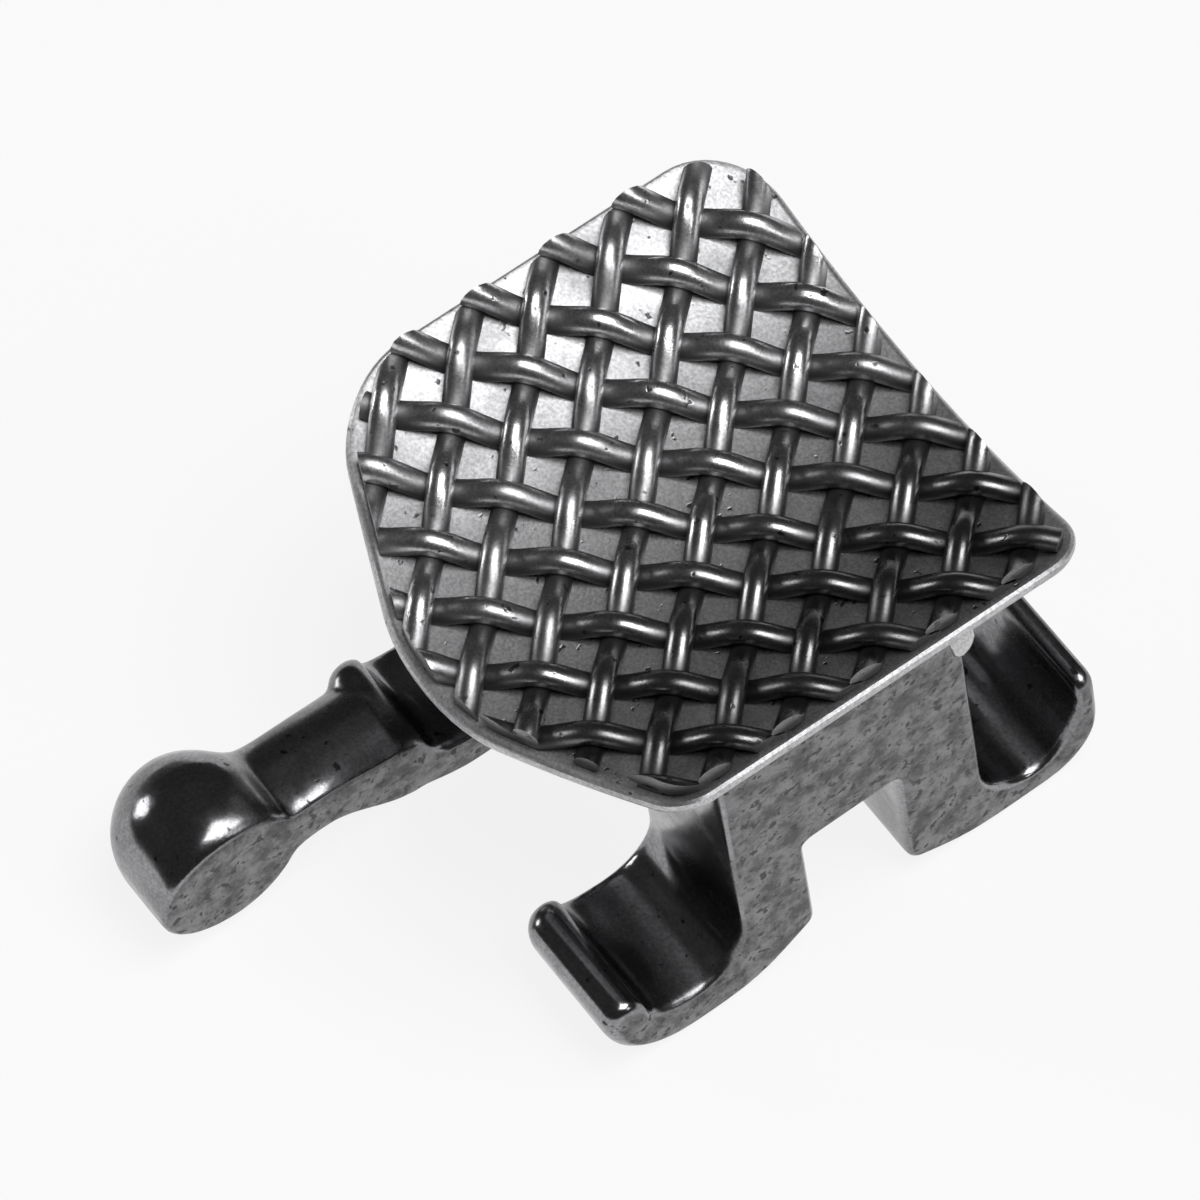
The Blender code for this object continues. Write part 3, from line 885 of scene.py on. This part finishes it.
    def make_weave(self) -> bpy.types.Object:
        """Copies of the wire in both directions, trimmed inside the rim and joined.

        Returns:
            The finished piece.
        """
        pattern = self.make_wire()
        draw = random.Random(self.seed)
        pieces = []
        for family, angle in self.families:
            for index in range(-self.wires, self.wires + 1):
                off = index * self.pitch + draw.uniform(-self.stray, self.stray)
                x = off * HALF_ROOT * family + self.shift[0]
                y = off * HALF_ROOT + self.shift[1]
                # Neighbours are half a wave apart, and so are the two sets, so that over and under
                # take turns.
                odd = index % 2 == 1
                along = self.pitch if odd == (family == 1) else 0.0
                turn = math.radians(angle + draw.uniform(-self.stray_angle, self.stray_angle))
                place = Matrix.Translation((x, y, 0.0)) @ Matrix.Rotation(turn, 4, "Z")
                place = place @ Matrix.Translation((along, 0.0, 0.0))
                mesh = pattern.data.copy()
                mesh.transform(place)
                piece = bpy.data.objects.new("wire_copy", mesh)
                bpy.context.scene.collection.objects.link(piece)
                self.trim(piece)
                if len(piece.data.vertices) > self.least_rings * self.wire_sides:
                    pieces.append(piece)
                else:
                    bpy.data.objects.remove(piece, do_unlink=True)
        bpy.data.objects.remove(pattern, do_unlink=True)
        Bench.take(pieces[0])
        for piece in pieces:
            piece.select_set(True)
        bpy.ops.object.join()
        weave = Bench.name_new("woven_wires")
        self.mark_rise(weave)
        self.seat(weave, self.foil)
        Bench.finish(weave, self.wire_sharp)
        return weave

    def trim(self, piece: bpy.types.Object) -> None:
        """Cut a wire off along every side of the mesh that it crosses.

        Args:
            piece: The wire, lying flat.
        """
        for place, outward in self.lines:
            if not piece.data.vertices:
                return
            if max((vert.co - place).dot(outward) for vert in piece.data.vertices) > 0:
                Bench.open_mesh(piece)
                Bench.cut(piece, place, outward, clear=True)
                Bench.close_mesh()

    def mark_rise(self, weave: bpy.types.Object) -> None:
        """Store how high each point lies in the weave, from 0 at the foil to 1 at the crowns.

        Args:
            weave: The joined wires, lying flat.
        """
        top = self.mid_height + self.swing + self.wire_crown
        rise = weave.data.attributes.new(WIRE.rise, "FLOAT", "POINT")
        for index, vert in enumerate(weave.data.vertices):
            rise.data[index].value = min(max(vert.co.z / top, 0.0), 1.0)


@dataclass
class BrazeFillet:
    """The thin run of braze that fills the corner between the neck and the foil.

    Attributes:
        pad: The pad whose curve it follows.
        low: The neck's lowest corner, in millimetres.
        high: The neck's highest corner.
        corner: Radius of the fillet's plan corners.
        corner_steps: Steps round such a corner.
        spread: How far the fillet reaches out along the foil.
        drop: How far it reaches down the neck.
        sink: How far it goes into the foil, where it doesn't show.
        steps: Steps of its hollow section.
        bead: Place of the bead of braze at the near end, under the flat foil.
        bead_size: Half sizes of the bead.
        bead_sides: Sides of the bead round its middle.
        bead_rings: Rings of the bead from end to end.
        bead_swell: How far the bead's points are pushed out or in, before it gets its size.
        bead_seed: Seed of those pushes.
        smooth_share: How far a point of the bead moves to its neighbours' middle in each pass.
        smooth_passes: Passes of smoothing over the bead.
        sharp_angle: Degrees past which an edge is shaded sharp.
    """

    pad: MeshPad
    low: Pair = (-1.11, -0.68)
    high: Pair = (1.385, 0.74)
    corner: float = 0.06
    corner_steps: int = 5
    spread: float = 0.055
    drop: float = 0.07
    sink: float = 0.03
    steps: int = 6
    bead: Point = (1.390, 0.73, -0.09)
    bead_size: Point = (0.055, 0.075, 0.14)
    bead_sides: int = 20
    bead_rings: int = 12
    bead_swell: float = 0.45
    bead_seed: int = 5
    smooth_share: float = 0.5
    smooth_passes: int = 5
    sharp_angle: float = 60.0

    def build(self) -> list[bpy.types.Object]:
        """Make the fillet with its bead and lay it in place.

        Returns:
            The one piece.
        """
        bead = self.make_bead()
        piece = self.make_fillet()
        bead.select_set(True)
        bpy.ops.object.join()
        self.pad.seat(piece, 0.0)
        Bench.finish(piece, self.sharp_angle)
        piece.data.materials.append(BRAZE.build())
        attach(piece, "root")
        return [piece]

    def make_bead(self) -> bpy.types.Object:
        """A small uneven bead where the braze has gathered.

        Returns:
            The bead in millimetres, to be joined to the fillet.
        """
        Bench.clear_selection()
        bpy.ops.mesh.primitive_uv_sphere_add(segments=self.bead_sides, ring_count=self.bead_rings,
                                             radius=1.0)
        piece = Bench.name_new("braze_bead")
        Bench.open_mesh(piece)
        bpy.ops.transform.vertex_random(offset=self.bead_swell, uniform=0.0, normal=1.0,
                                        seed=self.bead_seed)
        bpy.ops.mesh.vertices_smooth(factor=self.smooth_share, repeat=self.smooth_passes)
        bpy.ops.transform.resize(value=self.bead_size, center_override=(0.0, 0.0, 0.0))
        bpy.ops.transform.translate(value=self.bead)
        Bench.close_mesh()
        return piece

    def make_fillet(self) -> bpy.types.Object:
        """Raise the neck's outline to the foil along a hollow section.

        Returns:
            The fillet in millimetres, lying flat.
        """
        middle = ((self.low[0] + self.high[0]) / 2, (self.low[1] + self.high[1]) / 2)
        half = ((self.high[0] - self.low[0]) / 2, (self.high[1] - self.low[1]) / 2)
        Bench.clear_selection()
        bpy.ops.mesh.primitive_plane_add(size=2.0)
        piece = Bench.name_new("braze_fillet")
        Bench.open_mesh(piece)
        bpy.ops.transform.resize(value=(half[0], half[1], 1.0), center_override=(0.0, 0.0, 0.0))
        bpy.ops.mesh.bevel(offset=self.corner, segments=self.corner_steps, affect="VERTICES",
                           profile=ROUND)
        bpy.ops.mesh.select_all(action="SELECT")
        reach = 0.0
        for index in range(1, self.steps + 1):
            angle = math.pi / 2 * index / self.steps
            rise = self.drop * (math.sin(angle) - math.sin(angle - math.pi / 2 / self.steps))
            wider = self.spread * (1 - math.cos(angle))
            grow = [(side + wider) / (side + reach) for side in half]
            bpy.ops.mesh.extrude_region_move(TRANSFORM_OT_translate={"value": (0.0, 0.0, rise)})
            bpy.ops.transform.resize(value=(grow[0], grow[1], 1.0), center_override=(0.0, 0.0, 0.0))
            reach = wider
        bpy.ops.mesh.extrude_region_move(TRANSFORM_OT_translate={"value": (0.0, 0.0, self.sink)})
        bpy.ops.mesh.select_all(action="SELECT")
        bpy.ops.mesh.normals_make_consistent(inside=False)
        bpy.ops.transform.translate(value=(middle[0], middle[1], -self.drop))
        Bench.cut_strips(piece, self.low[0], self.high[0], self.pad.strips)
        Bench.close_mesh()
        return piece


@dataclass(frozen=True)
class SoftBox:
    """A square studio light that points at the bracket.

    Attributes:
        name: The lamp's name.
        direction: Where it stands, seen from the bracket.
        distance: How far off it stands, in metres.
        size: Its side, in metres.
        radiance: How bright its face looks, where 1 is white.
    """

    name: str
    direction: Point
    distance: float
    size: float
    radiance: float

    def build(self) -> None:
        """Hang the lamp."""
        lamp = bpy.data.lights.new(self.name, "AREA")
        lamp.shape = "SQUARE"
        lamp.size = self.size
        lamp.energy = self.radiance * math.pi * self.size ** 2
        item = bpy.data.objects.new(self.name, lamp)
        towards = Vector(self.direction).normalized()
        item.location = towards * self.distance
        item.rotation_euler = towards.to_track_quat("Z", "Y").to_euler()
        bpy.context.scene.collection.objects.link(item)


@dataclass
class Studio:
    """The pale floor, the room's glow, the lights and the camera.

    Attributes:
        azimuth: Degrees that the camera is turned about the upright axis.
        elevation: Degrees that the camera stands above the floor.
        roll: Degrees that the camera is turned about its own axis.
        aim: Where it points, as millimetres right and up of the origin.
        distance: How far it stands from there, in metres.
        frame_width: Width of the picture at the bracket, in millimetres.
        floor_size: Side of the floor, in metres.
        sensor: Width of the camera's sensor, in millimetres.
        clip: Nearest and farthest distances that the camera sees, in metres.
        paper: Colour of the floor.
        paper_rough: Roughness of the floor.
        paper_glow: Share of plain white in the floor as it is seen, which lifts its shade towards
            the photograph's.
        room: How bright the room is overhead.
        horizon: How bright it is where it meets the floor.
        glow_range: Heights between which the horizon's glow gives way to the room.
        far_range: Places along X between which the glow rises from its low far side to its full
            height.
        far_press: How many times lower the glow lies on the far side.
        boxes: The studio lights.
    """

    azimuth: float = 64.1
    elevation: float = 61.0
    roll: float = -11.1
    aim: Pair = (-0.404, 0.065)
    distance: float = 0.0625
    frame_width: float = 5.85
    floor_size: float = 3.0
    sensor: float = 36.0
    clip: Pair = (0.001, 10.0)
    paper: Colour = (0.92, 0.92, 0.92)
    paper_rough: float = 0.9
    paper_glow: float = 0.86
    room: float = 0.05
    horizon: float = 0.95
    glow_range: Pair = (0.06, 0.26)
    far_range: Pair = (-0.7, 0.2)
    far_press: float = 5.0
    boxes: Sequence[SoftBox] = (
        SoftBox("overhead_box", (0.24, 0.24, 0.94), 0.25, 0.14, 6.5),
        SoftBox("near_box", (0.67, 0.39, 0.64), 0.25, 0.05, 4.0),
        SoftBox("side_box", (-0.80, -0.52, 0.34), 0.25, 0.08, 5.0),
    )

    def build(self) -> None:
        """Set the stage."""
        self.make_floor()
        self.make_world()
        self.make_camera()
        for box in self.boxes:
            box.build()
        bpy.context.scene.view_settings.view_transform = "Standard"

    def make_floor(self) -> None:
        """A pale floor under the wings, which glows a little where the camera or a gloss sees it."""
        Bench.clear_selection()
        bpy.ops.mesh.primitive_plane_add(size=self.floor_size, location=(0.0, 0.0, CAD_BOX[0][2]))
        floor = Bench.name_new("floor")
        material = bpy.data.materials.new("floor_paper")
        material.use_nodes = True
        graph = Graph(material.node_tree)
        shader = material.node_tree.nodes["Principled BSDF"]
        shader.inputs["Base Color"].default_value = (*self.paper, 1.0)
        shader.inputs["Roughness"].default_value = self.paper_rough
        shader.inputs["Specular IOR Level"].default_value = 0.0
        light = graph.add("ShaderNodeLightPath")
        seen = graph.maths("ADD", light.outputs["Is Camera Ray"], light.outputs["Is Glossy Ray"])
        seen = graph.maths("ADD", seen, light.outputs["Is Transmission Ray"])
        seen = graph.maths("MULTIPLY", graph.maths("MINIMUM", seen, 1.0), self.paper_glow)
        glow = graph.add("ShaderNodeEmission")
        both = graph.add("ShaderNodeMixShader")
        graph.join(seen, both.inputs["Fac"])
        graph.join(shader.outputs["BSDF"], both.inputs[1])
        graph.join(glow.outputs["Emission"], both.inputs[2])
        end = material.node_tree.nodes["Material Output"]
        graph.join(both.outputs["Shader"], end.inputs["Surface"])
        floor.data.materials.append(material)

    def make_world(self) -> None:
        """A room that glows at the horizon, lower on the far side, and is dim overhead."""
        world = bpy.data.worlds.new("studio_room")
        world.use_nodes = True
        bpy.context.scene.world = world
        graph = Graph(world.node_tree)
        place = graph.add("ShaderNodeTexCoord")
        split = graph.add("ShaderNodeSeparateXYZ")
        graph.join(place.outputs["Generated"], split.inputs[0])
        press = graph.step(split.outputs["X"], *self.far_range, self.far_press, 1.0)
        height = graph.maths("MULTIPLY", split.outputs["Z"], press)
        glow = graph.step(height, *self.glow_range, self.horizon, self.room)
        back = world.node_tree.nodes["Background"]
        graph.join(glow, back.inputs["Color"])
        back.inputs["Strength"].default_value = 1.0

    def make_camera(self) -> None:
        """A long lens at the photograph's viewing angle."""
        turn, rise, roll = (math.radians(value) for value in (self.azimuth, self.elevation, self.roll))
        flat = math.cos(rise)
        back = Vector((math.sin(turn) * flat, -math.cos(turn) * flat, math.sin(rise)))
        level = Vector((math.cos(turn), math.sin(turn), 0.0))
        upright = back.cross(level)
        right = level * math.cos(roll) + upright * math.sin(roll)
        up = upright * math.cos(roll) - level * math.sin(roll)
        target = (right * self.aim[0] + up * self.aim[1]) * MILLIMETRE
        lens = bpy.data.cameras.new("camera")
        lens.sensor_width = self.sensor
        lens.lens = self.sensor * self.distance / (self.frame_width * MILLIMETRE)
        lens.clip_start, lens.clip_end = self.clip
        camera = bpy.data.objects.new("camera", lens)
        bpy.context.scene.collection.objects.link(camera)
        pose = Matrix((right, up, back)).transposed().to_4x4()
        pose.translation = target + back * self.distance
        camera.matrix_world = pose
        bpy.context.scene.camera = camera


def main() -> None:
    """Build the bracket and its stage in order, and report each piece."""
    logging.basicConfig(level=logging.INFO)
    Studio().build()
    pad = MeshPad()
    for part in (Casting(), pad, BrazeFillet(pad)):
        for piece in part.build():
            piece.data.calc_loop_triangles()
            LOG.info("%s: %d triangles", piece.name, len(piece.data.loop_triangles))


if __name__ == "__main__":
    main()
